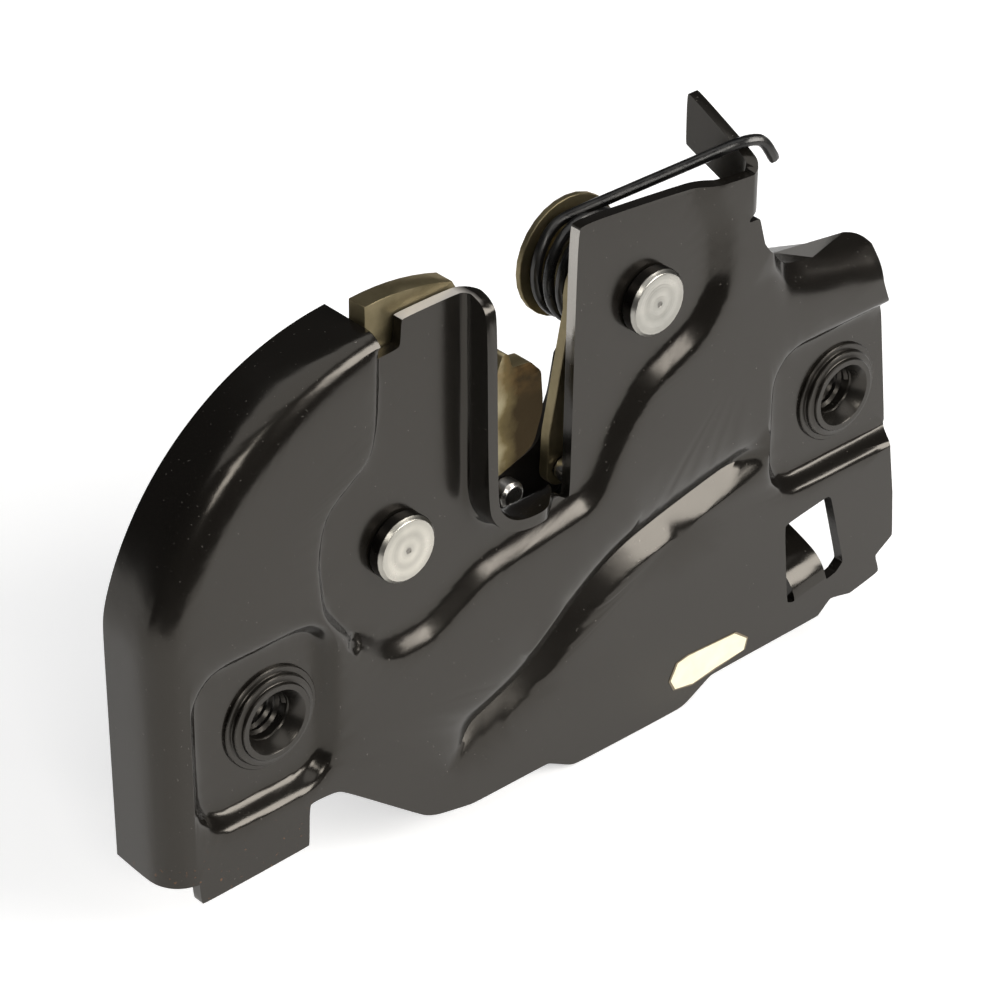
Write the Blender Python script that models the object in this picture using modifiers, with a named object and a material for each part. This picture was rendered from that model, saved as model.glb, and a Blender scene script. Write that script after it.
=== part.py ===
"""Vehicle bonnet latch, in metres.

X runs along the front plate, Y points away from the plate's front face, Z is up.
The origin lies on the plate's front face, between the two bolt holes.
"""
import math

import bmesh
import bpy
from mathutils import Matrix, Vector
from mathutils.geometry import delaunay_2d_cdt

MM = 0.001

# Clearances
GAP = 0.0003
BORE_GAP = 0.0003

# Front plate sheet
SHEET = 0.0016

# Sunk seats of the rivets, with a flank that widens to the right and below
SEAT_DEPTH = 0.0016
SEAT_FLANK_THIN = 0.0018
SEAT_FLANK_WIDE = 0.0044
SEAT_WIDENS_FROM = (-0.0240, 0.0050)
SEAT_WIDENS_OVER = (0.0080, 0.0060)

# Bolts and the sunk pads round them; reaches are left, right, down and up from the bolt
BOLT_LEFT = (-0.0455, -0.0050)
BOLT_RIGHT = (0.0545, 0.0013)
BOLT_HOLE = 0.0069
PAD_DEPTH = 0.0024
PAD_FLANK = 0.0024
PAD_CORNER = 0.0046
PAD_LEFT_REACH = (0.0127, 0.0083, 0.0115, 0.0118)
PAD_RIGHT_REACH = (0.0137, 0.0225, 0.0106, 0.0113)

# Stiffening groove below the seats, and a round dimple
GROOVE_DEPTH = 0.0018
GROOVE_HALF_WIDTH = 0.0034
DIMPLE = (-0.0332, 0.0010)
DIMPLE_RADIUS = 0.0015
DIMPLE_DEPTH = 0.0005

# Drawn wall on the left
WALL_DEPTH = 0.0105
WALL_RADIUS = 0.0045
WALL_RADIUS_AT_TOP = 0.0024
WALL_BLEND = 0.024
WALL_ARC_RADIUS = 0.0391
WALL_ARC_CENTRE = (-0.0260, 0.0047)
WALL_CORNER_RADIUS = 0.012
WALL_TOP_ANGLE = 93.4
WALL_LEAD_ANGLE = 91.4
WALL_TURN_ANGLE = 163.0
WALL_BOTTOM = -0.0240
RIM_BOTTOM = -0.0216
RIM_STEP = 0.0042
RIM_LEAD_ANGLE = 2.0
WALL_NOTCH_BOTTOM = 0.0350
WALL_NOTCH_CORNER = 0.0008

# Hump, bent back along the top right
HUMP_RADIUS = 0.0065
HUMP_ANGLE = 75.0
HUMP_LINE = ((0.0415, 0.0207), (0.0597, 0.0172))
HUMP_BLEND = 0.0050
HUMP_BLEND_LEAD = 0.0030
HUMP_GUIDE = (-0.0030, 0.0220)

# Striker slot with its forward lip
SLOT_LEFT = -0.0120
SLOT_RIGHT = 0.0044
SLOT_BOTTOM = 0.0097
SLOT_CORNER = 0.0055
LIP_PROUD = 0.0043
LIP_RADIUS = 0.0012
LIP_TOP_ROUND = 0.0030
LIP_RUNOUT = 0.0018
LIP_FADE = 0.0030
LIP_MARGIN = 0.0010
LIP_OVERRUN = 0.0020
LIP_END_ROUND = 0.0012
SLOT_RIGHT_DROP = 0.0040
TAB_TOP = 0.0438

# Spring ear on the tower, bent straight back
TOWER_TOP_LEFT = 0.0457
TOWER_LEAN = 0.0008
TOWER_ROUND = 0.0016
EAR_X = 0.0345
EAR_RADIUS = 0.0021
EAR_LENGTH = 0.0109
EAR_ROOT_TOP = 0.0428
EAR_ROOT_BOTTOM = 0.0365
EAR_TIP_RISE = 0.0070
EAR_TIP_BOTTOM = 0.0420
EAR_RELIEF = 0.0005
EAR_RELIEF_RUN = 0.0004
EAR_RELIEF_ROUND = 0.0002
EAR_ROUND = 0.0012
EAR_TIP_ROUND = 0.0005
EAR_OVERRUN = 0.0030
EAR_WIRE_DEPTH = 0.0031

# Cable window and its bent tab
CABLE_TAB_RADIUS = 0.0050
CABLE_TAB_ANGLE = 65.0
CABLE_TAB_LENGTH = 0.0064
CABLE_TAB_WIDTH = 0.0062
CABLE_TAB_TILT = 8.5
CABLE_TAB_ROOT = (0.0490, -0.0277)
CABLE_TAB_ROUND = 0.0012
CABLE_TAB_RELIEF = 0.0004
CABLE_TAB_RELIEF_ROUND = 0.0003

# Weld nuts
NUT_COLLAR = 0.0065
NUT_COLLAR_PROUD = 0.0005
NUT_RADIUS = 0.0090
NUT_HEIGHT = 0.0052
NUT_BORE = 0.0034
NUT_MOUTH = 0.0045
NUT_CHAMFER = 0.0012
NUT_RIM = 0.0006

# Pivots
FORK_PIVOT = (-0.0250, 0.0120)
PAWL_PIVOT = (0.0175, 0.0307)
RIVET_HEAD = 0.0047
RIVET_PROUD = 0.0023
RIVET_EDGE = 0.0005
RIVET_SHANK = 0.0030
RIVET_TAIL = 0.0046
RIVET_TAIL_HEIGHT = 0.0011
FORK_SHOULDER = 0.0050
PAWL_SHOULDER = 0.0040
WASHER_RADIUS = 0.0060
WASHER_THICKNESS = 0.0008
SPACER_WALL = 0.0008
PAWL_SPACER_RADIUS = 0.0070

# Fork: lobe arc, hub and striker throat
FORK_THICKNESS = 0.0030
FORK_ARC_RADIUS = 0.0342
FORK_ARC_FROM = 71.0
FORK_ARC_TO = 94.7
FORK_HUB = 0.0103
FORK_HUB_ARC = (172.0, 285.0)
THROAT_RADIUS = 0.0049
THROAT_CENTRE = (-0.0116, 0.0289)
THROAT_ANGLE = 65.0

# Pawl lever
PAWL_THICKNESS = 0.0016
PAWL_HUB = 0.0085
PAWL_HUB_ARC = (8.0, 188.0)
PAWL_BOSS = 0.0027
PAWL_BOSS_ARC = (190.0, 350.0)
PAWL_EYE = (0.0340, -0.0080)
PAWL_EYE_RADIUS = 0.0045
PAWL_EYE_ARC = (-160.0, 20.0)
PLATE_EDGE = 0.00035

# Pins, peg and bush of the cable eye
DETENT_PIN = (0.00775, 0.0069)
DETENT_RADIUS = 0.0018
DETENT_SHANK = 0.0013
PAWL_STOP = (-0.0003, 0.0055)
PAWL_STOP_RADIUS = 0.0020
FORK_STOP = (-0.03715, 0.0220)
FORK_STOP_RADIUS = 0.0020
STOP_SHANK = 0.0014
STOP_TAIL = 0.0022
STOP_TAIL_HEIGHT = 0.0008
PEG = (-0.0300, 0.0240)
PEG_RADIUS = 0.0010
PEG_PROUD = 0.0022
PEG_HOOK_RISE = 0.0008
EYE_BUSH_RADIUS = 0.0020
EYE_BUSH_BORE = 0.0012
EYE_BUSH_FLANGE = 0.0032
EYE_BUSH_RIM = 0.0006

# Pawl spring and its flanged bush
PAWL_WIRE = 0.0017
PAWL_COIL_RADIUS = 0.0074
PAWL_COIL_LENGTH = 0.0056
PAWL_COIL_TURNS = 2
PAWL_HOOK_REACH = 0.0180
PAWL_HOOK_GAP = 0.0005
EAR_HOOK_LEAN = 0.0006
WIRE_EASE = 0.0018
BUSH_SLEEVE = 0.0058
BUSH_FLANGE = 0.0086
BUSH_FLANGE_THICKNESS = 0.0009

# Fork spring
FORK_WIRE = 0.0009
FORK_COIL_RADIUS = 0.0070
FORK_COIL_TURNS = 1
FORK_COIL_LEAST = 0.55
FORK_SPRING_LIFT = 0.00005

# Back plate
BACK_SHEET = 0.0016
BACK_CLEARANCE = 0.0031
FOOT_RISE_TOP = -0.0130
FOOT_RISE_BOTTOM = -0.0224
FOOT_STEPS = 6
FOOT_GUIDE = (-0.0100, 0.0300)

# Levels that follow from the sizes above
SEAT_BACK = SEAT_DEPTH + SHEET
FORK_FRONT = SEAT_BACK + GAP
FORK_BACK = FORK_FRONT + FORK_THICKNESS
PAWL_FRONT = FORK_BACK + GAP
PAWL_BACK = PAWL_FRONT + PAWL_THICKNESS
BACK_FRONT = FORK_BACK + BACK_CLEARANCE
BACK_BACK = BACK_FRONT + BACK_SHEET
HEAD_FRONT = SEAT_DEPTH - RIVET_PROUD
HEAD_BACK = SEAT_DEPTH - GAP
SHOULDER_FRONT = SEAT_BACK + GAP
COIL_FRONT = PAWL_BACK + GAP
COIL_BACK = COIL_FRONT + PAWL_WIRE + PAWL_COIL_LENGTH
FLANGE_FRONT = COIL_BACK + GAP
FLANGE_BACK = FLANGE_FRONT + BUSH_FLANGE_THICKNESS

# Fineness of the mesh
ROUND_STEPS = 28
HOLE_STEPS = 16
BOLT_HOLE_STEPS = 24
PIN_STEPS = 14
COIL_STEPS = 16
PLATE_GRID = 0.0065
BACK_GRID = 0.0120
GRID_CLEAR = 0.0019
CORNER_STEP = 0.0016
CORNER_SHARE = 0.49
EASE_SHARE = 0.45
FLANK_STEP = 0.0024
PAD_STEP = 0.0022
GROOVE_STEP = 0.0028
HUMP_STEP = 0.0032
TOLERANCE = 0.00001
SHARP_ANGLE = 40.0
BROKEN_ANGLE = 60.0

# Colour, roughness and metallic share of each finish
FINISHES = {
    "black_coat": ((0.045, 0.042, 0.038), 0.38, 0.35),
    "dark_coat": ((0.030, 0.028, 0.026), 0.50, 0.30),
    "yellow_zinc": ((0.42, 0.34, 0.16), 0.34, 0.90),
    "bright_zinc": ((0.66, 0.64, 0.60), 0.28, 1.00),
    "black_spring_steel": ((0.030, 0.030, 0.032), 0.35, 0.70),
}

# Outlines in millimetres: x, z and, where a corner is rounded, its radius;
# the hump's end gives x, a share of the hump's bend, and the radius
SEAT_CORNERS = (
    (-28.0, 47.0), (-28.4, 33.5, 4.0), (-29.2, 27.0, 4.0), (-37.0, 21.8, 4.5), (-38.3, 15.5, 5.0),
    (-37.6, 7.5, 4.0), (-33.0, 1.5, 4.0), (-27.0, -3.2, 3.5), (-20.5, -3.0, 4.0), (-11.5, 2.2, 5.0),
    (7.6, 4.6, 4.0), (12.3, 13.5, 5.0), (17.0, 18.8, 5.0), (26.0, 22.8, 5.0), (29.8, 28.0, 5.0),
    (29.6, 36.5, 7.0), (26.8, 42.5, 8.0), (26.4, 49.0),
)
GROOVE_LINE = (
    (-13.8, -21.9), (-5.0, -18.6, 8.0), (0.0, -15.4, 8.0), (5.0, -11.2, 8.0), (10.0, -7.7, 8.0),
    (15.0, -5.5, 8.0), (22.0, -3.7, 8.0), (30.0, -2.0, 8.0), (36.0, -0.9),
)
LOWER_EDGE = (
    (-59.2, -22.8), (-59.0, -26.1, 0.6), (-41.6, -25.8, 0.4), (-41.4, -19.3, 0.8), (-36.5, -19.6, 4.0),
    (-29.0, -25.6, 9.0), (-21.5, -31.6, 9.0), (-14.0, -33.2, 9.0), (-0.5, -33.3, 2.0), (4.0, -35.9, 4.0),
    (24.5, -36.2, 5.0), (29.8, -33.3, 3.0), (50.8, -33.2, 1.0), (53.2, -31.2, 1.0), (57.2, -32.2, 1.5),
    (63.1, -31.1, 0.6), (62.0, -28.0, 0.6), (65.4, -26.0, 0.6), (64.9, -18.5, 6.0), (63.8, -10.4, 2.0),
    (64.9, -7.6, 1.5), (63.0, 10.6, 6.0),
)
HUMP_END = ((0.8, 0.0, 3.0), (0.6, 1.0, 3.5))
TOWER_EDGE = ((38.4, 29.9, 1.4), (37.1, 31.8, 1.5))
TOWER_EDGE_TOP = 36.0
WALL_NOTCH = ((-23.7, 43.7, 0.6), (-23.9, 39.8, 0.8))
WINDOW_CORNERS = (
    (54.0, -27.2, 0.6), (55.4, -26.0, 0.6), (52.2, -13.7, 0.6), (51.4, -13.6, 0.6), (43.2, -14.7, 0.8),
    (44.4, -28.0, 0.6),
)
BACK_CORNERS = (
    (3.0, -31.5, 2.0), (21.5, -31.5, 2.0), (21.5, -14.0, 4.0), (21.8, 2.0, 6.0), (16.5, 13.0, 5.0),
    (12.5, 21.0, 2.5), (10.4, 22.5, 1.5), (9.0, 15.6, 8.0), (6.0, 9.6, 5.0), (1.4, 8.4, 4.0),
    (-9.0, 8.4, 5.0), (-12.6, 14.0, 5.0), (-13.5, 24.5, 4.0), (-25.0, 25.5, 6.0), (-36.5, 27.6, 4.5),
    (-42.0, 22.5, 4.5), (-37.0, 11.0, 6.0), (-35.5, 1.5, 9.0), (-22.0, -4.5, 12.0),
    (-5.0, -9.5, 8.0), (2.6, -16.0, 4.0),
)
FORK_LEFT = ((-27.9, 41.2, 1.0), (-31.8, 37.8, 2.5), (-34.6, 28.0, 12.0))
FORK_PRONG = (
    (-14.5, 6.6, 8.0), (-7.2, 12.6, 4.0), (-0.4, 14.8, 2.5), (1.4, 20.0, 6.0), (1.0, 25.6, 1.4),
    (-0.9, 27.7, 0.8), (-3.9, 28.1, 0.5), (-5.1, 31.6, 0.6),
)
FORK_RIGHT = ((-12.0, 41.0, 1.8),)
PAWL_LEG = ((8.1, 25.0, 20.0), (6.7, 18.2, 12.0), (5.5, 12.6, 8.0))
PAWL_ARM = ((13.0, 10.4, 4.0), (19.5, 12.0, 7.0), (27.0, 3.0, 14.0))
PAWL_ARM_TOP = (26.0, 31.9)

# Rear hook of the pawl spring past the ear, in millimetres: right, back, up
EAR_HOOK = ((1.6, -0.3, -0.7), (3.5, -0.5, -4.1))


def purge():
    """Empties the file of objects and of collections."""
    for item in list(bpy.data.objects):
        bpy.data.objects.remove(item, do_unlink=True)
    for group in list(bpy.data.collections):
        bpy.data.collections.remove(group)


def collection(name):
    group = bpy.data.collections.new(name)
    bpy.context.scene.collection.children.link(group)
    return group


def material(name, colour, roughness, metallic):
    """A Principled material with one colour."""
    made = bpy.data.materials.new(name)
    made.use_nodes = True
    shader = made.node_tree.nodes["Principled BSDF"]
    shader.inputs["Base Color"].default_value = (*colour, 1.0)
    shader.inputs["Roughness"].default_value = roughness
    shader.inputs["Metallic"].default_value = metallic
    return made


def link(item, group, finish):
    group.objects.link(item)
    item.data.materials.append(finish)
    return item


def smoothstep(t):
    t = min(1.0, max(0.0, t))
    return t * t * (3.0 - 2.0 * t)


def mm(corners):
    """Turns a list of corners written in millimetres into metres."""
    return [tuple(value * MM for value in corner) for corner in corners]


def arc(centre, radius, start, end, count):
    """Points on an arc, angles in degrees from +X towards +Z."""
    points = []
    for index in range(count + 1):
        angle = math.radians(start + (end - start) * index / count)
        points.append((centre[0] + radius * math.cos(angle), centre[1] + radius * math.sin(angle)))
    return points


def circle(centre, radius, count):
    return arc(centre, radius, 0.0, 360.0 * (count - 1) / count, count - 1)


def rounded(corners, closed=True):
    """An outline whose corners (x, z, radius) are rounded; a corner without radius stays sharp."""
    points = []
    total = len(corners)
    for index, corner in enumerate(corners):
        here = Vector(corner[:2])
        radius = corner[2] if len(corner) > 2 else 0.0
        if radius == 0.0 or (not closed and index in (0, total - 1)):
            points.append(tuple(here))
            continue
        before = Vector(corners[index - 1][:2]) - here
        after = Vector(corners[(index + 1) % total][:2]) - here
        half = before.angle(after) / 2.0
        reach = min(radius / math.tan(half), before.length * CORNER_SHARE, after.length * CORNER_SHARE)
        radius = reach * math.tan(half)
        middle = here + (before.normalized() + after.normalized()).normalized() * radius / math.sin(half)
        start = here + before.normalized() * reach - middle
        end = here + after.normalized() * reach - middle
        turn = start.angle_signed(end)
        steps = max(2, math.ceil(abs(turn) * radius / CORNER_STEP))
        for step in range(steps + 1):
            swung = start.copy()
            swung.rotate(Matrix.Rotation(-turn * step / steps, 2))
            points.append(tuple(middle + swung))
    return points


def resampled(points, step, closed=True):
    """Even points along a polyline."""
    route = list(points) + [points[0]] if closed else list(points)
    lengths = [0.0]
    for first, second in zip(route, route[1:]):
        lengths.append(lengths[-1] + math.dist(first, second))
    count = max(3, round(lengths[-1] / step))
    result = []
    place = 0
    for index in range(count + (0 if closed else 1)):
        target = lengths[-1] * index / count
        while place < len(route) - 2 and lengths[place + 1] < target:
            place += 1
        span = lengths[place + 1] - lengths[place]
        share = (target - lengths[place]) / span if span else 0.0
        first, second = route[place], route[place + 1]
        result.append((first[0] + (second[0] - first[0]) * share, first[1] + (second[1] - first[1]) * share))
    return result


def shifted(points, width, share, closed=True):
    """A polyline moved sideways by a share of the width at each of its points."""
    result = []
    total = len(points)
    for index, point in enumerate(points):
        before = points[index - 1] if closed or index else point
        after = points[(index + 1) % total] if closed or index < total - 1 else point
        along = Vector((after[0] - before[0], after[1] - before[1])).normalized()
        reach = width(point) * share
        result.append((point[0] + along.y * reach, point[1] - along.x * reach))
    return result


def nearest(point, line, closed=True):
    """Distance from a point to a polyline."""
    best = math.inf
    pairs = zip(line, line[1:] + line[:1]) if closed else zip(line, line[1:])
    for first, second in pairs:
        ax, az = first
        bx, bz = second[0] - ax, second[1] - az
        share = ((point[0] - ax) * bx + (point[1] - az) * bz) / (bx * bx + bz * bz)
        share = min(1.0, max(0.0, share))
        best = min(best, math.hypot(point[0] - ax - bx * share, point[1] - az - bz * share))
    return best


def inside(point, outline):
    """Even-odd test of a point in a closed outline."""
    hit = False
    x, z = point
    for (ax, az), (bx, bz) in zip(outline, outline[1:] + outline[:1]):
        if (az > z) != (bz > z) and x < (bx - ax) * (z - az) / (bz - az) + ax:
            hit = not hit
    return hit


def sheet_mesh(name, outline, holes, guides, form, grid):
    """A flat blank, triangulated along its outline, holes and bend lines, then pressed by form."""
    points = []
    edges = []

    def add(line, closed):
        start = len(points)
        points.extend(Vector(place) for place in line)
        count = len(line)
        for index in range(count if closed else count - 1):
            edges.append((start + index, start + (index + 1) % count))

    add(outline, True)
    for hole in holes:
        add(hole, True)
    for line, closed in guides:
        add(line, closed)
    known = [tuple(place) for place in points]
    left = min(place[0] for place in outline)
    right = max(place[0] for place in outline)
    low = min(place[1] for place in outline)
    high = max(place[1] for place in outline)
    for column in range(int((right - left) / grid) + 1):
        for row in range(int((high - low) / grid) + 1):
            place = (left + (column + 0.5) * grid, low + (row + 0.5) * grid)
            if all(math.dist(place, other) > GRID_CLEAR for other in known):
                points.append(Vector(place))
    flat, _, faces, _, _, _ = delaunay_2d_cdt(points, edges, [], 0, 1e-7)
    mesh = bpy.data.meshes.new(name)
    shape = bmesh.new()
    corners = [shape.verts.new((*place, 0.0)) for place in flat]
    for face in faces:
        centre = sum((flat[index] for index in face), Vector((0.0, 0.0))) / len(face)
        if inside(centre, outline) and not any(inside(centre, hole) for hole in holes):
            shape.faces.new([corners[index] for index in face])
    bmesh.ops.delete(shape, geom=[corner for corner in shape.verts if not corner.link_faces], context="VERTS")
    for corner in shape.verts:
        corner.co = form(corner.co.x, corner.co.y)
    bmesh.ops.recalc_face_normals(shape, faces=shape.faces)
    if sum(face.normal.y * face.calc_area() for face in shape.faces) > 0.0:
        bmesh.ops.reverse_faces(shape, faces=shape.faces)
    shape.to_mesh(mesh)
    shape.free()
    return mesh


def thickened(item, thickness):
    """Gives an open front surface its sheet thickness, behind it."""
    solid = item.modifiers.new("sheet", "SOLIDIFY")
    solid.thickness = thickness
    solid.offset = -1.0
    solid.use_even_offset = True
    solid.thickness_clamp = 0.0
    return item


def quarter(radius):
    """Length of blank that a right-angled bend takes up."""
    return radius * math.pi / 2.0


def folded(run, radius, limit):
    """How far a bent strip reaches along its blank's plane and away from it, after a run of blank."""
    turn = min(run / radius, limit)
    rest = max(0.0, run - radius * limit)
    along = radius * math.sin(turn) + rest * math.cos(limit)
    away = radius * (1.0 - math.cos(turn)) + rest * math.sin(limit)
    return along, away


def wall_path():
    """The drawn wall's outer line: points, outward normals and fold radii from above its end down."""
    bend = arc(WALL_ARC_CENTRE, WALL_ARC_RADIUS, WALL_LEAD_ANGLE, WALL_TURN_ANGLE, 25)
    last = math.radians(WALL_TURN_ANGLE)
    shrink = WALL_ARC_RADIUS - WALL_CORNER_RADIUS
    inner = (
        WALL_ARC_CENTRE[0] + shrink * math.cos(last),
        WALL_ARC_CENTRE[1] + shrink * math.sin(last),
    )
    corner = arc(inner, WALL_CORNER_RADIUS, WALL_TURN_ANGLE, 180.0, 6)
    side = inner[0] - WALL_CORNER_RADIUS
    drop = [(side, inner[1] + (WALL_BOTTOM - inner[1]) * index / 8) for index in range(1, 9)]
    points = bend + corner[1:] + drop
    result = []
    travelled = 0.0
    for index, point in enumerate(points):
        before = points[max(0, index - 1)]
        after = points[min(len(points) - 1, index + 1)]
        along = Vector((after[0] - before[0], after[1] - before[1])).normalized()
        if index:
            travelled += math.dist(points[index - 1], point)
        blend = smoothstep(travelled / WALL_BLEND)
        radius = WALL_RADIUS_AT_TOP + (WALL_RADIUS - WALL_RADIUS_AT_TOP) * blend
        result.append((Vector(point), Vector((along.y, -along.x)), radius))
    return result


WALL = wall_path()


def wall_line(share):
    """A line of the blank on the wall: 0 where the bend starts, 1 where it ends, 2 at the rim."""
    line = []
    for point, out, radius in WALL:
        run = quarter(radius) * min(share, 1.0) + (WALL_DEPTH - radius) * max(share - 1.0, 0.0)
        line.append(tuple(point + out * (run - radius)))
    return line


def wall_angle(place):
    """Angle in degrees of a place about the centre of the wall's arc, from +X towards +Z."""
    return math.degrees(math.atan2(place[1] - WALL_ARC_CENTRE[1], place[0] - WALL_ARC_CENTRE[0])) % 360.0


def wall_end(distance):
    """A place of the blank on the line where the wall ends, at a distance from its arc's centre."""
    angle = math.radians(WALL_TOP_ANGLE)
    return (
        WALL_ARC_CENTRE[0] + distance * math.cos(angle),
        WALL_ARC_CENTRE[1] + distance * math.sin(angle),
    )


def wall_place(x, z):
    """Nearest place on the wall's outer line, with its normal and fold radius."""
    spot = Vector((x, z))
    best = None
    for (first, out_a, radius_a), (second, out_b, radius_b) in zip(WALL, WALL[1:]):
        step = second - first
        share = min(1.0, max(0.0, (spot - first).dot(step) / step.length_squared))
        place = first + step * share
        distance = (spot - place).length
        if best is None or distance < best[0]:
            out = (out_a.lerp(out_b, share)).normalized()
            best = (distance, place, out, radius_a + (radius_b - radius_a) * share)
    return best[1:]


EAR_BLANK = quarter(EAR_RADIUS) + EAR_LENGTH
HUMP_BLANK = HUMP_RADIUS * math.radians(HUMP_ANGLE)
CABLE_TAB_BEND = CABLE_TAB_RADIUS * math.radians(CABLE_TAB_ANGLE)
CABLE_TAB_BLANK = CABLE_TAB_BEND + CABLE_TAB_LENGTH
LIP_BLANK = quarter(LIP_RADIUS) + LIP_PROUD - LIP_RADIUS
LIP_X = SLOT_LEFT - SHEET - LIP_RADIUS
LIP_Z = SLOT_BOTTOM - SHEET - LIP_RADIUS
LIP_CORNER = SLOT_CORNER + SHEET + LIP_RADIUS
LIP_CENTRE = (LIP_X + LIP_CORNER, LIP_Z + LIP_CORNER)
LIP_END = SLOT_RIGHT - LIP_RUNOUT


def lip_line(share):
    """A line of the blank on the slot's lip: 0 where the bend starts, 1 where it ends."""
    run = quarter(LIP_RADIUS) * share
    line = [(LIP_X + run, TAB_TOP + LIP_OVERRUN)]
    line += arc(LIP_CENTRE, LIP_CORNER - run, 180.0, 270.0, 6)
    line.append((LIP_END, LIP_Z + run))
    return resampled(line, FLANK_STEP, closed=False)


def lip_fold(x, z):
    """Distance into the lip, the direction it leans and the place where it starts."""
    if x > LIP_END or z < LIP_Z:
        return None
    if z > LIP_CENTRE[1]:
        run, out, base = x - LIP_X, (1.0, 0.0), (LIP_X, z)
    elif x > LIP_CENTRE[0]:
        run, out, base = z - LIP_Z, (0.0, 1.0), (x, LIP_Z)
    else:
        away = Vector(LIP_CENTRE) - Vector((x, z))
        run = LIP_CORNER - away.length
        out = tuple(away.normalized())
        base = (LIP_CENTRE[0] - out[0] * LIP_CORNER, LIP_CENTRE[1] - out[1] * LIP_CORNER)
    if run <= 0.0 or run > LIP_BLANK + LIP_MARGIN:
        return None
    return run, out, base


def pad_outline(bolt, reaches):
    """Middle line of the flank round a bolt pad."""
    x, z = bolt
    left, right, down, up = reaches
    return rounded([
        (x - left, z - down, PAD_CORNER), (x + right, z - down, PAD_CORNER),
        (x + right, z + up, PAD_CORNER), (x - left, z + up, PAD_CORNER),
    ])


SEAT = rounded(mm(SEAT_CORNERS))
PAD_LEFT = pad_outline(BOLT_LEFT, PAD_LEFT_REACH)
PAD_RIGHT = pad_outline(BOLT_RIGHT, PAD_RIGHT_REACH)
GROOVE = rounded(mm(GROOVE_LINE), closed=False)


def seat_flank(point):
    """Width of the flank round the seats."""
    across = smoothstep((point[0] - SEAT_WIDENS_FROM[0]) / SEAT_WIDENS_OVER[0])
    below = smoothstep((SEAT_WIDENS_FROM[1] - point[1]) / SEAT_WIDENS_OVER[1])
    return SEAT_FLANK_THIN + (SEAT_FLANK_WIDE - SEAT_FLANK_THIN) * max(across, below)


def pad_flank(point):
    return PAD_FLANK


def groove_width(point):
    return GROOVE_HALF_WIDTH


def sunk(point, outline, depth, flank):
    """Depth of a sunk area whose flank is centred on the outline."""
    distance = nearest(point, outline)
    if not inside(point, outline):
        distance = -distance
    return depth * smoothstep(0.5 + distance / flank)


def hollow(distance, radius, depth):
    """Depth of a rounded hollow at a distance from its middle."""
    if distance >= radius:
        return 0.0
    return depth * (0.5 + 0.5 * math.cos(math.pi * distance / radius))


def plate_depth(x, z):
    """How far the front plate's face lies behind its foremost level."""
    point = (x, z)
    depth = max(
        sunk(point, SEAT, SEAT_DEPTH, seat_flank(point)),
        sunk(point, PAD_LEFT, PAD_DEPTH, PAD_FLANK),
        sunk(point, PAD_RIGHT, PAD_DEPTH, PAD_FLANK),
        hollow(nearest(point, GROOVE, closed=False), GROOVE_HALF_WIDTH, GROOVE_DEPTH),
    )
    return depth + hollow(math.dist(point, DIMPLE), DIMPLE_RADIUS, DIMPLE_DEPTH)


def hump_frame():
    start = Vector(HUMP_LINE[0])
    along = (Vector(HUMP_LINE[1]) - start).normalized()
    return start, along, Vector((-along.y, along.x))


def hump_line(run):
    """A line of the blank at a distance past the hump's bend line."""
    start, along, up = hump_frame()
    ends = [tuple(start + up * run + along * reach) for reach in HUMP_GUIDE]
    return resampled(ends, HUMP_STEP, closed=False)


def cable_tab_frame():
    tilt = math.radians(CABLE_TAB_TILT)
    along = Vector((math.cos(tilt), math.sin(tilt)))
    return Vector(CABLE_TAB_ROOT), along, Vector((-along.y, along.x))


def formed(x, z):
    """Presses a point of the front plate's flat blank into its place."""
    spot = Vector((x, z))
    root, along, up = cable_tab_frame()
    side, run = (spot - root).dot(along), (spot - root).dot(up)
    if abs(side) < CABLE_TAB_WIDTH / 2.0 + TOLERANCE and 0.0 < run < CABLE_TAB_BLANK + TOLERANCE:
        lift, back = folded(run, CABLE_TAB_RADIUS, math.radians(CABLE_TAB_ANGLE))
        place = root + along * side + up * lift
        return Vector((place.x, back, place.y))
    if x > EAR_X and z > EAR_ROOT_BOTTOM - EAR_RELIEF / 2.0:
        reach, back = folded(x - EAR_X, EAR_RADIUS, math.pi / 2.0)
        return Vector((EAR_X + reach, back, z))
    lip = lip_fold(x, z)
    if lip:
        run, out, base = lip
        reach, proud = folded(run, LIP_RADIUS, math.pi / 2.0)
        return Vector((base[0] + out[0] * reach, plate_depth(*base) - proud, base[1] + out[1] * reach))
    if x < WALL_ARC_CENTRE[0]:
        place, out, radius = wall_place(x, z)
        run = (spot - place).dot(out) + radius
        if run > 0.0:
            reach, back = folded(run, radius, math.pi / 2.0)
            drift = spot - place
            slide = drift - out * drift.dot(out)
            edge = place + out * (reach - radius) + slide
            return Vector((edge.x, back, edge.y))
    start, along, up = hump_frame()
    run = (spot - start).dot(up)
    weight = smoothstep((x - start.x + HUMP_BLEND_LEAD) / HUMP_BLEND)
    if run > 0.0 and weight > 0.0:
        lift, back = folded(run, HUMP_RADIUS, math.radians(HUMP_ANGLE))
        place = spot + up * (lift - run) * weight
        return Vector((place.x, back * weight + plate_depth(x, z), place.y))
    return Vector((x, plate_depth(x, z), z))


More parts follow.
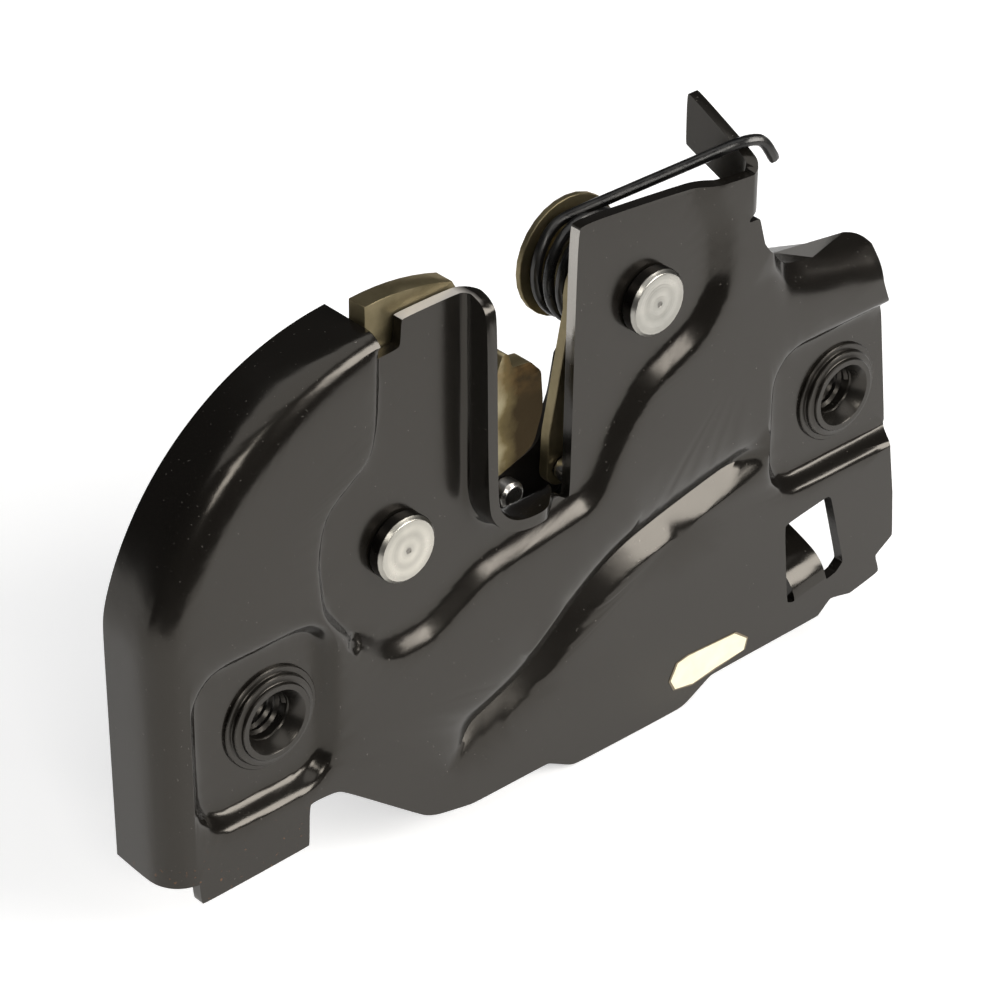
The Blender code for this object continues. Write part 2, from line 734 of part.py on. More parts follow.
def front_outline():
    """Outer edge of the front plate's flat blank."""
    rim = resampled(wall_line(2.0), RIM_STEP, closed=False)
    rim_x = rim[-1][0]
    rim = [place for place in rim if wall_angle(place) > WALL_TOP_ANGLE + RIM_LEAD_ANGLE]
    rim = [place for place in rim if place[1] > RIM_BOTTOM + RIM_STEP / 4.0]
    end = wall_end(WALL_ARC_RADIUS + quarter(WALL_RADIUS_AT_TOP) + WALL_DEPTH - WALL_RADIUS_AT_TOP * 2.0)
    foot = wall_end(WALL_NOTCH_BOTTOM)
    lip_edge = LIP_X + LIP_BLANK
    lip_top = LIP_Z + LIP_BLANK
    ear_end = EAR_X + EAR_BLANK
    ear_start = EAR_X - EAR_RELIEF_RUN
    relief = EAR_ROOT_BOTTOM - EAR_RELIEF
    hump_x, hump_z = HUMP_LINE[1]
    corners = [end] + rim + [(rim_x, RIM_BOTTOM)] + mm(LOWER_EDGE)
    corners += [(hump_x + x * MM, hump_z + share * HUMP_BLANK, radius * MM) for x, share, radius in HUMP_END]
    corners += mm(TOWER_EDGE)
    corners += [
        (TOWER_EDGE_TOP * MM, relief, 2.0 * EAR_RELIEF_ROUND),
        (ear_start, relief, EAR_RELIEF_ROUND),
        (ear_start, EAR_ROOT_BOTTOM, EAR_RELIEF_ROUND),
        (ear_end, EAR_TIP_BOTTOM, EAR_TIP_ROUND),
        (ear_end, EAR_ROOT_TOP + EAR_TIP_RISE, EAR_TIP_ROUND),
        (EAR_X, EAR_ROOT_TOP, EAR_ROUND),
        (SLOT_RIGHT + TOWER_LEAN, TOWER_TOP_LEFT, TOWER_ROUND),
        (SLOT_RIGHT, SLOT_BOTTOM - SLOT_RIGHT_DROP, TOWER_ROUND),
        (LIP_END, LIP_Z, LIP_END_ROUND),
        (LIP_CENTRE[0] + LIP_FADE, lip_top, LIP_FADE),
        (lip_edge, lip_top, LIP_CORNER - LIP_BLANK),
        (lip_edge, TAB_TOP, LIP_TOP_ROUND),
    ]
    return rounded(corners + mm(WALL_NOTCH) + [(*foot, WALL_NOTCH_CORNER)])


def window_hole():
    """The cable window in the blank, cut round its tab."""
    root, along, up = cable_tab_frame()
    half = CABLE_TAB_WIDTH / 2.0

    def at(side, run, radius):
        return (*(root + along * side + up * run), radius)

    tab = [
        at(-half, -CABLE_TAB_RELIEF, CABLE_TAB_RELIEF_ROUND), at(-half, CABLE_TAB_BLANK, CABLE_TAB_ROUND),
        at(half, CABLE_TAB_BLANK, CABLE_TAB_ROUND), at(half, -CABLE_TAB_RELIEF, CABLE_TAB_RELIEF_ROUND),
    ]
    return rounded(tab + mm(WINDOW_CORNERS))


def front_plate(group, finish):
    """The pressed front plate, one sheet with all its bends and sunk areas."""
    guides = []
    seat = resampled(SEAT, FLANK_STEP)
    for share in (-0.5, -0.25, 0.0, 0.25, 0.5):
        guides.append((shifted(seat, seat_flank, share), True))
    for outline in (PAD_LEFT, PAD_RIGHT):
        pad = resampled(outline, PAD_STEP)
        for share in (-0.5, -0.2, 0.2, 0.5):
            guides.append((shifted(pad, pad_flank, share), True))
    groove = resampled(GROOVE, GROOVE_STEP, closed=False)
    for share in (-1.0, -0.5, 0.0, 0.5, 1.0):
        guides.append((shifted(groove, groove_width, share, closed=False), False))
    for share in (0.0, 0.25, 0.5, 0.75, 1.0, 1.5):
        guides.append((resampled(wall_line(share), RIM_STEP, closed=False), False))
    for share in (0.0, 0.33, 0.67, 1.0):
        guides.append((lip_line(share), False))
        guides.append((hump_line(HUMP_BLANK * share), False))
        line_x = EAR_X + quarter(EAR_RADIUS) * share
        ear_ends = [(line_x, EAR_ROOT_BOTTOM - EAR_RELIEF / 2.0), (line_x, EAR_ROOT_TOP + EAR_OVERRUN)]
        guides.append((ear_ends, False))
        root, along, up = cable_tab_frame()
        place = root + up * CABLE_TAB_BEND * share
        reach = along * (CABLE_TAB_WIDTH / 2.0 + TOLERANCE)
        guides.append(([tuple(place - reach), tuple(place + reach)], False))
    guides.append((circle(DIMPLE, DIMPLE_RADIUS, 10), True))
    guides.append((circle(DIMPLE, DIMPLE_RADIUS / 2.0, 6), True))
    holes = [
        circle(BOLT_LEFT, BOLT_HOLE, BOLT_HOLE_STEPS), circle(BOLT_RIGHT, BOLT_HOLE, BOLT_HOLE_STEPS),
        circle(FORK_PIVOT, RIVET_SHANK + BORE_GAP, HOLE_STEPS),
        circle(PAWL_PIVOT, RIVET_SHANK + BORE_GAP, HOLE_STEPS),
        window_hole(),
    ]
    mesh = sheet_mesh("front_plate", front_outline(), holes, guides, formed, PLATE_GRID)
    return thickened(link(bpy.data.objects.new("front_plate", mesh), group, finish), SHEET)


def back_plate(group, finish):
    """The plate behind the slot's bottom, stepped forward to a foot at the front plate's lower edge."""
    foot_front = SHEET + GAP

    def shape(x, z):
        drop = smoothstep((FOOT_RISE_TOP - z) / (FOOT_RISE_TOP - FOOT_RISE_BOTTOM))
        return Vector((x, BACK_FRONT + (foot_front - BACK_FRONT) * drop, z))

    guides = []
    for step in range(FOOT_STEPS + 1):
        level = FOOT_RISE_TOP + (FOOT_RISE_BOTTOM - FOOT_RISE_TOP) * step / FOOT_STEPS
        guides.append(([(reach, level) for reach in FOOT_GUIDE], False))
    holes = [
        circle(FORK_PIVOT, RIVET_SHANK + BORE_GAP, HOLE_STEPS),
        circle(PAWL_STOP, STOP_SHANK + BORE_GAP, PIN_STEPS),
        circle(FORK_STOP, STOP_SHANK + BORE_GAP, PIN_STEPS),
    ]
    mesh = sheet_mesh("back_plate", rounded(mm(BACK_CORNERS)), holes, guides, shape, BACK_GRID)
    return thickened(link(bpy.data.objects.new("back_plate", mesh), group, finish), BACK_SHEET)


def flat_piece(name, outline, holes, front, thickness, group, finish):
    """A flat stamped piece: a filled outline with holes, given its thickness and a broken edge."""
    curve = bpy.data.curves.new(name, "CURVE")
    curve.dimensions = "2D"
    curve.fill_mode = "BOTH"
    curve.extrude = thickness / 2.0
    for line in [outline] + holes:
        spline = curve.splines.new("POLY")
        spline.points.add(len(line) - 1)
        for point, place in zip(spline.points, line):
            point.co = (*place, 0.0, 1.0)
        spline.use_cyclic_u = True
    item = link(bpy.data.objects.new(name, curve), group, finish)
    item.rotation_euler = (math.pi / 2.0, 0.0, 0.0)
    item.location = (0.0, front + thickness / 2.0, 0.0)
    weld = item.modifiers.new("weld", "WELD")
    weld.merge_threshold = TOLERANCE
    edge = item.modifiers.new("edge", "BEVEL")
    edge.width = PLATE_EDGE
    edge.segments = 1
    edge.limit_method = "ANGLE"
    edge.angle_limit = math.radians(BROKEN_ANGLE)
    return item


def on_axis(item, axis_place):
    """Moves an item's origin to its joint's axis and leaves its shape where it is."""
    shift = Vector((axis_place[0], 0.0, axis_place[1]))
    turned_shift = item.rotation_euler.to_matrix().inverted() @ shift
    item.data.transform(Matrix.Translation(-turned_shift))
    item.location = Vector(item.location) + shift
    return item


def fork(group, finish):
    """The catch: a lobe on an arc about the pivot, a throat for the striker and a notched prong."""
    lobe = arc(FORK_PIVOT, FORK_ARC_RADIUS, FORK_ARC_FROM, FORK_ARC_TO, 7)
    hub = arc(FORK_PIVOT, FORK_HUB, *FORK_HUB_ARC, 10)
    throat = arc(THROAT_CENTRE, THROAT_RADIUS, THROAT_ANGLE - 90.0, THROAT_ANGLE - 270.0, 10)
    corners = lobe + mm(FORK_LEFT) + hub + mm(FORK_PRONG) + throat + mm(FORK_RIGHT)
    holes = [
        circle(FORK_PIVOT, FORK_SHOULDER + BORE_GAP, 20),
        circle(PEG, PEG_RADIUS + BORE_GAP, 10),
    ]
    item = flat_piece("fork", rounded(corners), holes, FORK_FRONT, FORK_THICKNESS, group, finish)
    return on_axis(item, FORK_PIVOT)


def pawl_lever(group, finish):
    """Detent leg with its pin boss, hub and release arm with the cable eye, in one stamping."""
    hub = arc(PAWL_PIVOT, PAWL_HUB, *PAWL_HUB_ARC, 14)
    boss = arc(DETENT_PIN, PAWL_BOSS, *PAWL_BOSS_ARC, 8)
    eye = arc(PAWL_EYE, PAWL_EYE_RADIUS, *PAWL_EYE_ARC, 9)
    corners = hub + mm(PAWL_LEG) + boss + mm(PAWL_ARM) + eye
    holes = [
        circle(PAWL_PIVOT, PAWL_SHOULDER + BORE_GAP, 18),
        circle(DETENT_PIN, DETENT_SHANK + BORE_GAP, 10),
        circle(PAWL_EYE, EYE_BUSH_RADIUS + BORE_GAP, 12),
    ]
    item = flat_piece("pawl_lever", rounded(corners), holes, PAWL_FRONT, PAWL_THICKNESS, group, finish)
    return on_axis(item, PAWL_PIVOT)


def turned(name, profile, axis_place, steps, group, finish, closed=False):
    """A turned piece about an axis along Y; the profile is (radius, depth) from back to front outside."""
    mesh = bpy.data.meshes.new(name)
    shape = bmesh.new()
    corners = [shape.verts.new((radius, 0.0, depth)) for radius, depth in profile]
    for first, second in zip(corners, corners[1:]):
        shape.edges.new((first, second))
    if closed:
        shape.edges.new((corners[-1], corners[0]))
    shape.to_mesh(mesh)
    shape.free()
    item = link(bpy.data.objects.new(name, mesh), group, finish)
    item.rotation_euler = (-math.pi / 2.0, 0.0, 0.0)
    item.location = (axis_place[0], 0.0, axis_place[1])
    screw = item.modifiers.new("turn", "SCREW")
    screw.axis = "Z"
    screw.steps = steps
    screw.render_steps = steps
    screw.use_merge_vertices = True
    screw.merge_threshold = TOLERANCE
    screw.use_smooth_shade = True
    return item


def ring(name, bore, outside, front, back, axis_place, group, finish):
    profile = [(outside, back), (outside, front), (bore, front), (bore, back)]
    return turned(name, profile, axis_place, ROUND_STEPS, group, finish, closed=True)


def rivet(name, pivot, shoulder, shoulder_back, tail_front, group, finish):
    """Shoulder rivet: proud turned head, shank in the front plate, shoulder, thin end and rear head."""
    tail_back = tail_front + RIVET_TAIL_HEIGHT
    profile = [
        (0.0, tail_back), (RIVET_TAIL - RIVET_EDGE, tail_back), (RIVET_TAIL, tail_back - RIVET_EDGE),
        (RIVET_TAIL, tail_front), (RIVET_SHANK, tail_front), (RIVET_SHANK, shoulder_back),
        (shoulder, shoulder_back), (shoulder, SHOULDER_FRONT), (RIVET_SHANK, SHOULDER_FRONT),
        (RIVET_SHANK, HEAD_BACK), (RIVET_HEAD, HEAD_BACK), (RIVET_HEAD, HEAD_FRONT + RIVET_EDGE),
        (RIVET_HEAD - RIVET_EDGE, HEAD_FRONT), (0.0, HEAD_FRONT),
    ]
    return turned(name, profile, pivot, ROUND_STEPS, group, finish)


def weld_nut(name, bolt, group, finish):
    """Round weld nut behind a pad, with a collar that stands through the pad's hole."""
    front = PAD_DEPTH - NUT_COLLAR_PROUD
    seat = PAD_DEPTH + SHEET + GAP
    back = seat + NUT_HEIGHT
    profile = [
        (NUT_RADIUS - NUT_RIM, back), (NUT_RADIUS, back - NUT_RIM), (NUT_RADIUS, seat),
        (NUT_COLLAR, seat), (NUT_COLLAR, front + NUT_RIM), (NUT_COLLAR - NUT_RIM, front),
        (NUT_MOUTH, front), (NUT_BORE, front + NUT_CHAMFER), (NUT_BORE, back),
    ]
    return turned(name, profile, bolt, ROUND_STEPS, group, finish, closed=True)


def stop_pin(name, place, radius, front, group, finish):
    """Pin on the back plate: body in front, shank through it and a tail behind."""
    tail_front = BACK_BACK + GAP
    tail_back = tail_front + STOP_TAIL_HEIGHT
    body_back = BACK_FRONT - GAP
    profile = [
        (0.0, tail_back), (STOP_TAIL, tail_back), (STOP_TAIL, tail_front), (STOP_SHANK, tail_front),
        (STOP_SHANK, body_back), (radius, body_back), (radius, front + RIVET_EDGE),
        (radius - RIVET_EDGE, front), (0.0, front),
    ]
    return turned(name, profile, place, PIN_STEPS, group, finish)


def wire(name, points, diameter, group, finish):
    """A round wire along a list of points."""
    curve = bpy.data.curves.new(name, "CURVE")
    curve.dimensions = "3D"
    curve.bevel_depth = diameter / 2.0
    curve.bevel_resolution = 2
    curve.use_fill_caps = True
    spline = curve.splines.new("POLY")
    spline.points.add(len(points) - 1)
    for point, place in zip(spline.points, points):
        point.co = (*place, 1.0)
    return link(bpy.data.objects.new(name, curve), group, finish)


def coil(centre, radius, start_angle, turns, start_depth, end_depth):
    """Points of a coil about an axis along Y, from its front end to its rear end."""
    count = round(abs(turns) * COIL_STEPS)
    points = []
    for index in range(count + 1):
        share = index / count
        angle = math.radians(start_angle + 360.0 * turns * share)
        depth = start_depth + (end_depth - start_depth) * share
        points.append((centre[0] + radius * math.cos(angle), depth, centre[1] + radius * math.sin(angle)))
    return points


def tangent_angle(centre, radius, place, side):
    """Angle in degrees where a tangent from a place touches a circle."""
    away = Vector((place[0] - centre[0], place[1] - centre[1]))
    return math.degrees(math.atan2(away.y, away.x) + side * math.acos(radius / away.length))


def eased(points, reach, steps=3):
    """A wire's route whose corners are rounded over a reach on either side."""
    route = [Vector(point) for point in points]
    result = [tuple(route[0])]
    for before, here, after in zip(route, route[1:], route[2:]):
        back, ahead = before - here, after - here
        start = here + back.normalized() * min(reach, back.length * EASE_SHARE)
        end = here + ahead.normalized() * min(reach, ahead.length * EASE_SHARE)
        for step in range(steps + 1):
            share = step / steps
            result.append(tuple(start.lerp(here, share).lerp(here.lerp(end, share), share)))
    result.append(tuple(route[-1]))
    return result


def pawl_spring(group, finish):
    """Torsion spring: front leg on the release arm's right edge, rear leg hooked over the spring ear."""
    half = PAWL_WIRE / 2.0
    first = COIL_FRONT + half
    last = COIL_BACK - half
    arm_top = Vector(mm([PAWL_ARM_TOP])[0])
    eye_end = math.radians(PAWL_EYE_ARC[1])
    arm_bottom = Vector(PAWL_EYE) + Vector((math.cos(eye_end), math.sin(eye_end))) * PAWL_EYE_RADIUS
    along = (arm_bottom - arm_top).normalized()
    out = Vector((-along.y, along.x))
    hook = arm_top + along * PAWL_HOOK_REACH + out * (half + PAWL_HOOK_GAP)
    slope = EAR_TIP_RISE / EAR_BLANK
    ear_run = EAR_WIRE_DEPTH - EAR_RADIUS + quarter(EAR_RADIUS)
    height = EAR_ROOT_TOP + slope * ear_run + (half + GAP) * math.hypot(1.0, slope)
    ear_face = EAR_X + EAR_RADIUS
    over = (ear_face - SHEET - GAP, EAR_WIRE_DEPTH, height)
    past = (ear_face + GAP, EAR_WIRE_DEPTH - EAR_HOOK_LEAN, height)
    start = tangent_angle(PAWL_PIVOT, PAWL_COIL_RADIUS, hook, -1.0)
    end = tangent_angle(PAWL_PIVOT, PAWL_COIL_RADIUS, (over[0], over[2]), 1.0)
    turns = -PAWL_COIL_TURNS - (start - end) % 360.0 / 360.0
    body = coil(PAWL_PIVOT, PAWL_COIL_RADIUS, start, turns, first, last)
    lead = eased([(hook.x, PAWL_FRONT, hook.y), (hook.x, first, hook.y), body[0]], WIRE_EASE)
    down = [tuple(Vector(past) + Vector(step)) for step in mm(EAR_HOOK)]
    tail = eased([body[-2], body[-1], over, past] + down, WIRE_EASE)
    return wire("pawl_spring", lead[:-1] + body[:-2] + tail, PAWL_WIRE, group, finish)


def fork_spring(group, finish):
    """Light torsion spring round the fork's spacer, from the fork's peg to the fork's stop."""
    half = FORK_WIRE / 2.0
    first = FORK_BACK + GAP + half + FORK_SPRING_LIFT
    last = BACK_FRONT - GAP - half
    at_peg = (PEG[0] + PEG_RADIUS + GAP + half, PEG[1] + PEG_HOOK_RISE)
    away = Vector((FORK_STOP[0] - FORK_PIVOT[0], FORK_STOP[1] - FORK_PIVOT[1])).normalized()
    reach = FORK_STOP_RADIUS + GAP + half
    at_stop = (FORK_STOP[0] - away.y * reach, FORK_STOP[1] + away.x * reach)
    start = tangent_angle(FORK_PIVOT, FORK_COIL_RADIUS, at_peg, -1.0)
    end = tangent_angle(FORK_PIVOT, FORK_COIL_RADIUS, at_stop, 1.0)
    share = (start - end) % 360.0 / 360.0
    turns = -share if share > FORK_COIL_LEAST else -FORK_COIL_TURNS - share
    body = coil(FORK_PIVOT, FORK_COIL_RADIUS, start, turns, first, last)
    points = [(at_peg[0], first, at_peg[1])] + body + [(at_stop[0], last, at_stop[1])]
    return wire("fork_spring", points, FORK_WIRE, group, finish)


def shaded(item, group):
    """Gives a piece its final mesh, smooth but for its sharp edges, on the same origin."""
    graph = bpy.context.evaluated_depsgraph_get()
    mesh = bpy.data.meshes.new_from_object(item.evaluated_get(graph), depsgraph=graph)
    name = item.name
    place = item.matrix_world.copy()
    bpy.data.objects.remove(item, do_unlink=True)
    mesh.name = name
    mesh.shade_smooth()
    mesh.set_sharp_from_angle(angle=math.radians(SHARP_ANGLE))
    settled = bpy.data.objects.new(name, mesh)
    settled.matrix_world = place
    group.objects.link(settled)


def fork_pivot(parts, bright, dark):
    """Rivet, rear washer and spacer that carry the fork."""
    washer_back = BACK_BACK + GAP + WASHER_THICKNESS
    rivet("fork_rivet", FORK_PIVOT, FORK_SHOULDER, BACK_FRONT - GAP, washer_back + GAP, parts, bright)
    ring("fork_rivet_washer", RIVET_SHANK + BORE_GAP, WASHER_RADIUS, BACK_BACK + GAP, washer_back,
         FORK_PIVOT, parts, bright)
    ring("fork_spacer", FORK_SHOULDER + BORE_GAP, FORK_SHOULDER + BORE_GAP + SPACER_WALL,
         FORK_BACK + GAP, BACK_FRONT - GAP, FORK_PIVOT, parts, dark)


def pawl_pivot(parts, bright, gold):
    """Rivet, rear washer, spacer and flanged spring bush on the pawl's axis."""
    washer_back = FLANGE_BACK + GAP + WASHER_THICKNESS
    bore = RIVET_SHANK + BORE_GAP
    rivet("pawl_rivet", PAWL_PIVOT, PAWL_SHOULDER, PAWL_BACK, washer_back + GAP, parts, bright)
    ring("pawl_rivet_washer", bore, WASHER_RADIUS, FLANGE_BACK + GAP, washer_back, PAWL_PIVOT, parts, bright)
    ring("pawl_spacer", PAWL_SHOULDER + BORE_GAP, PAWL_SPACER_RADIUS, SEAT_BACK + GAP,
         PAWL_FRONT - GAP, PAWL_PIVOT, parts, bright)
    bush = [
        (BUSH_FLANGE, FLANGE_BACK), (BUSH_FLANGE, FLANGE_FRONT), (BUSH_SLEEVE, FLANGE_FRONT),
        (BUSH_SLEEVE, COIL_FRONT), (bore, COIL_FRONT), (bore, FLANGE_BACK),
    ]
    turned("spring_bush", bush, PAWL_PIVOT, ROUND_STEPS, parts, gold, closed=True)


def moving_pins(parts, bright, dark):
    """Detent pin and eye bush pressed in the pawl lever, spring peg pressed in the fork."""
    detent = [
        (0.0, PAWL_BACK), (DETENT_SHANK, PAWL_BACK), (DETENT_SHANK, PAWL_FRONT - GAP),
        (DETENT_RADIUS, PAWL_FRONT - GAP), (DETENT_RADIUS, FORK_FRONT + RIVET_EDGE),
        (DETENT_RADIUS - RIVET_EDGE, FORK_FRONT), (0.0, FORK_FRONT),
    ]
    turned("detent_pin", detent, DETENT_PIN, PIN_STEPS, parts, bright)
    peg = [(0.0, FORK_BACK + PEG_PROUD), (PEG_RADIUS, FORK_BACK + PEG_PROUD), (PEG_RADIUS, FORK_FRONT),
           (0.0, FORK_FRONT)]
    turned("fork_spring_peg", peg, PEG, PIN_STEPS, parts, bright)
    flange_front = PAWL_BACK + GAP
    flange_back = flange_front + EYE_BUSH_RIM
    bush = [
        (EYE_BUSH_FLANGE, flange_back), (EYE_BUSH_FLANGE, flange_front), (EYE_BUSH_RADIUS, flange_front),
        (EYE_BUSH_RADIUS, PAWL_FRONT), (EYE_BUSH_BORE, PAWL_FRONT), (EYE_BUSH_BORE, flange_back),
    ]
    turned("cable_bush", bush, PAWL_EYE, PIN_STEPS, parts, dark, closed=True)


def build():
    purge()
    parts = collection("bonnet_latch")
    made = {name: material(name, *values) for name, values in FINISHES.items()}
    dark, gold, bright = made["dark_coat"], made["yellow_zinc"], made["bright_zinc"]
    front_plate(parts, made["black_coat"])
    back_plate(parts, dark)
    fork(parts, gold)
    pawl_lever(parts, gold)
    fork_pivot(parts, bright, dark)
    pawl_pivot(parts, bright, gold)
    pawl_spring(parts, made["black_spring_steel"])
    fork_spring(parts, made["black_spring_steel"])
    weld_nut("weld_nut_left", BOLT_LEFT, parts, dark)
    weld_nut("weld_nut_right", BOLT_RIGHT, parts, dark)
    stop_pin("pawl_stop_pin", PAWL_STOP, PAWL_STOP_RADIUS, PAWL_FRONT + GAP, parts, bright)
    stop_pin("fork_stop_pin", FORK_STOP, FORK_STOP_RADIUS, FORK_FRONT + GAP, parts, bright)
    moving_pins(parts, bright, dark)
    bpy.context.view_layer.update()
    for item in list(parts.objects):
        shaded(item, parts)


build()
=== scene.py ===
"""Visual model of the bonnet latch: finishes, threads, label and studio round the CAD nodes."""
import math

import bmesh
import bpy
from mathutils import Matrix, Quaternion, Vector


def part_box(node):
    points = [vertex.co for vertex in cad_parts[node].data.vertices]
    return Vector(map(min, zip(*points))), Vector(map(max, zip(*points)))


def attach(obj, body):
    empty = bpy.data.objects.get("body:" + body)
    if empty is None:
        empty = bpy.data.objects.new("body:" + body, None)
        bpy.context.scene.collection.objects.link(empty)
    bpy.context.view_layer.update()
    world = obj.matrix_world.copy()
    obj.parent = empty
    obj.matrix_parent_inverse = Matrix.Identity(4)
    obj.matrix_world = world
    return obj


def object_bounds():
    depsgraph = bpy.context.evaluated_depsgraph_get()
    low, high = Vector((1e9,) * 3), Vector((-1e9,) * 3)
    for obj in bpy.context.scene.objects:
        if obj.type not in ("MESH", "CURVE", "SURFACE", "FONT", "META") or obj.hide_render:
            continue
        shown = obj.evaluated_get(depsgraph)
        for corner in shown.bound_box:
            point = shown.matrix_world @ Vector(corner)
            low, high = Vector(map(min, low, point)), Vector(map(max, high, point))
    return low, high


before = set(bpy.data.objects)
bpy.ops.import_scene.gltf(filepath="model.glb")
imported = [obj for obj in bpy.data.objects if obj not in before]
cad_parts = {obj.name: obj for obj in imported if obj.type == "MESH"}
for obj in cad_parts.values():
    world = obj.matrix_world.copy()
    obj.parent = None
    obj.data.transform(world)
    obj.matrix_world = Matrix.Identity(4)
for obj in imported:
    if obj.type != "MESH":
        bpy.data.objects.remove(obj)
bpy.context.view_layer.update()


# Places shared with the CAD, in metres
BOLT_LEFT = (-0.0455, -0.0050)
BOLT_RIGHT = (0.0545, 0.0013)
FORK_PIVOT = (-0.0250, 0.0120)
PAWL_PIVOT = (0.0175, 0.0307)

# Camera of the photograph
AZIMUTH = math.radians(42.0)
ELEVATION = math.radians(33.0)
CAMERA_PLACE = (-0.29703, -0.31967, 0.29164)
CAMERA_LENS = 146.6
CAMERA_SENSOR = 36.0

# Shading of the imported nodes
WELD_REACH = 0.000002
SHARP_EDGE = math.radians(38.0)
PLATE_EDGE = 0.00018
TURNED_EDGE = 0.00015
ADDED_SHARP_EDGE = math.radians(40.0)

# Places of rust, stain, wear, painted highlight and painted shade, in metres: each pair fades in
# from its first value to its second
SLOT_EDGE_X = 0.0047
SLOT_EDGE_HALF = 0.0009
SLOT_EDGE_RISE = (0.0255, 0.0300)
TAB_TOP_RISE = (0.0424, 0.0430)
TAB_TOP_RIGHT = (-0.0130, -0.0145)
TAB_TOP_LEFT = (-0.0250, -0.0243)
RUST_SIDE = (-0.036, -0.044)
RUST_DROP = (-0.017, -0.023)
PRONG_SIDE = (-0.0165, -0.0140)
PRONG_DROP = (0.0345, 0.0325)
# Painted highlight and painted shade across the fork's prong
PRONG_PAINTED_HIGHLIGHT = (-0.0072, -0.0054)
PRONG_PAINTED_SHADE = (-0.0060, -0.0030)
PRONG_STAIN = (0.0225, 0.0275)
CENTRE_DOT = (0.0005, 0.0003)

# Turned rings in radians per metre of radius, and the depth of every bump
FINE_RINGS = 15000.0
WIDE_RINGS = 3600.0
BUMP_DEPTH = 0.00002

# M8 thread, in metres
THREAD_PITCH = 0.00125
THREAD_ROOT = 0.00342
THREAD_CREST = 0.00302
THREAD_STEPS = 36
THREAD_FRONT_GAP = 0.0018
THREAD_BACK_GAP = 0.0006

# Swaged collar of a weld nut: radius and depth of each step, and its facets round the bolt
COLLAR_STEPS = (
    (0.00718, 0.00245), (0.00718, 0.00205), (0.00706, 0.00193), (0.00640, 0.00190),
    (0.00632, 0.00182), (0.00630, 0.00134), (0.00618, 0.00122), (0.00545, 0.00118),
    (0.00538, 0.00112), (0.00535, 0.00082), (0.00524, 0.00070), (0.00452, 0.00070),
    (0.00436, 0.00084), (0.00345, 0.00270),
)
COLLAR_FACETS = 72

# Label on the plate, in metres
LABEL_CORNERS = (
    (0.0216, -0.0306), (0.0229, -0.0281), (0.0250, -0.0277), (0.0344, -0.0282), (0.0368, -0.0302),
    (0.0363, -0.0320), (0.0305, -0.0327), (0.0260, -0.0332), (0.0225, -0.0324),
)
LABEL_CENTRE = Vector((0.0292, -0.0304))
LABEL_THICKNESS = 0.00008
LABEL_RISE = 0.00004
BORDER_WIDTH = 0.00035

# Floor, in metres from the origin, and where the world's background fades in at the horizon
FLOOR_REACH = 0.34
FLOOR_FRONT = 0.13
FLOOR_GAP = 0.0002
HORIZON = 0.02

scene = bpy.context.scene
scene.view_settings.view_transform = "Standard"


class Graph:
    """Short way to write a node tree."""

    def __init__(self, tree):
        self.tree = tree

    def node(self, kind, inputs=(), **settings):
        made = self.tree.nodes.new(kind)
        for key, value in settings.items():
            setattr(made, key, value)
        for key, value in dict(inputs).items():
            socket = made.inputs[key]
            if isinstance(value, bpy.types.NodeSocket):
                self.tree.links.new(value, socket)
            else:
                socket.default_value = value
        return made

    def math(self, operation, first, second=0.0):
        return self.node("ShaderNodeMath", {0: first, 1: second}, operation=operation).outputs[0]

    def times(self, first, *others):
        for other in others:
            first = self.math("MULTIPLY", first, other)
        return first

    def noise(self, place, scale, detail=3.0, roughness=0.5):
        inputs = {"Vector": place, "Scale": scale, "Detail": detail, "Roughness": roughness}
        return self.node("ShaderNodeTexNoise", inputs).outputs["Fac"]

    def spread(self, value, low, high, to_low=0.0, to_high=1.0):
        """The value's way from low to high, clamped."""
        inputs = {"Value": value, "From Min": low, "From Max": high, "To Min": to_low,
                  "To Max": to_high}
        return self.node("ShaderNodeMapRange", inputs).outputs[0]

    def mix(self, share, first, second):
        made = self.node("ShaderNodeMix", {0: share, 6: first, 7: second}, data_type="RGBA")
        return made.outputs[2]

    def normal(self):
        """The surface's direction as x, y, z."""
        source = self.node("ShaderNodeNewGeometry").outputs["Normal"]
        return self.node("ShaderNodeSeparateXYZ", {0: source}).outputs


def shading_group(name, level=0):
    """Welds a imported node's facets and shades them smooth, with its true edges left sharp."""
    group = bpy.data.node_groups.new(name, "GeometryNodeTree")
    group.interface.new_socket("Geometry", in_out="INPUT", socket_type="NodeSocketGeometry")
    group.interface.new_socket("Geometry", in_out="OUTPUT", socket_type="NodeSocketGeometry")
    tree = Graph(group)
    angle = tree.node("GeometryNodeInputMeshEdgeAngle").outputs["Unsigned Angle"]
    sharp = tree.node("FunctionNodeCompare", {0: angle, 1: SHARP_EDGE}, data_type="FLOAT",
                      operation="GREATER_THAN").outputs[0]
    start = tree.node("NodeGroupInput").outputs[0]
    weld = {"Geometry": start, "Distance": WELD_REACH}
    shape = tree.node("GeometryNodeMergeByDistance", weld).outputs[0]
    if level:
        shape = tree.node("GeometryNodeSubdivisionSurface", {
            "Mesh": shape, "Level": level, "Edge Crease": sharp,
        }).outputs[0]
    smooth = tree.node("GeometryNodeSetShadeSmooth", {"Geometry": shape})
    normal = tree.node("GeometryNodeSetMeshNormal", {
        "Mesh": smooth.outputs[0], "Edge Sharpness": sharp,
    }, mode="SHARPNESS")
    tree.node("NodeGroupOutput", {0: normal.outputs[0]})
    return group


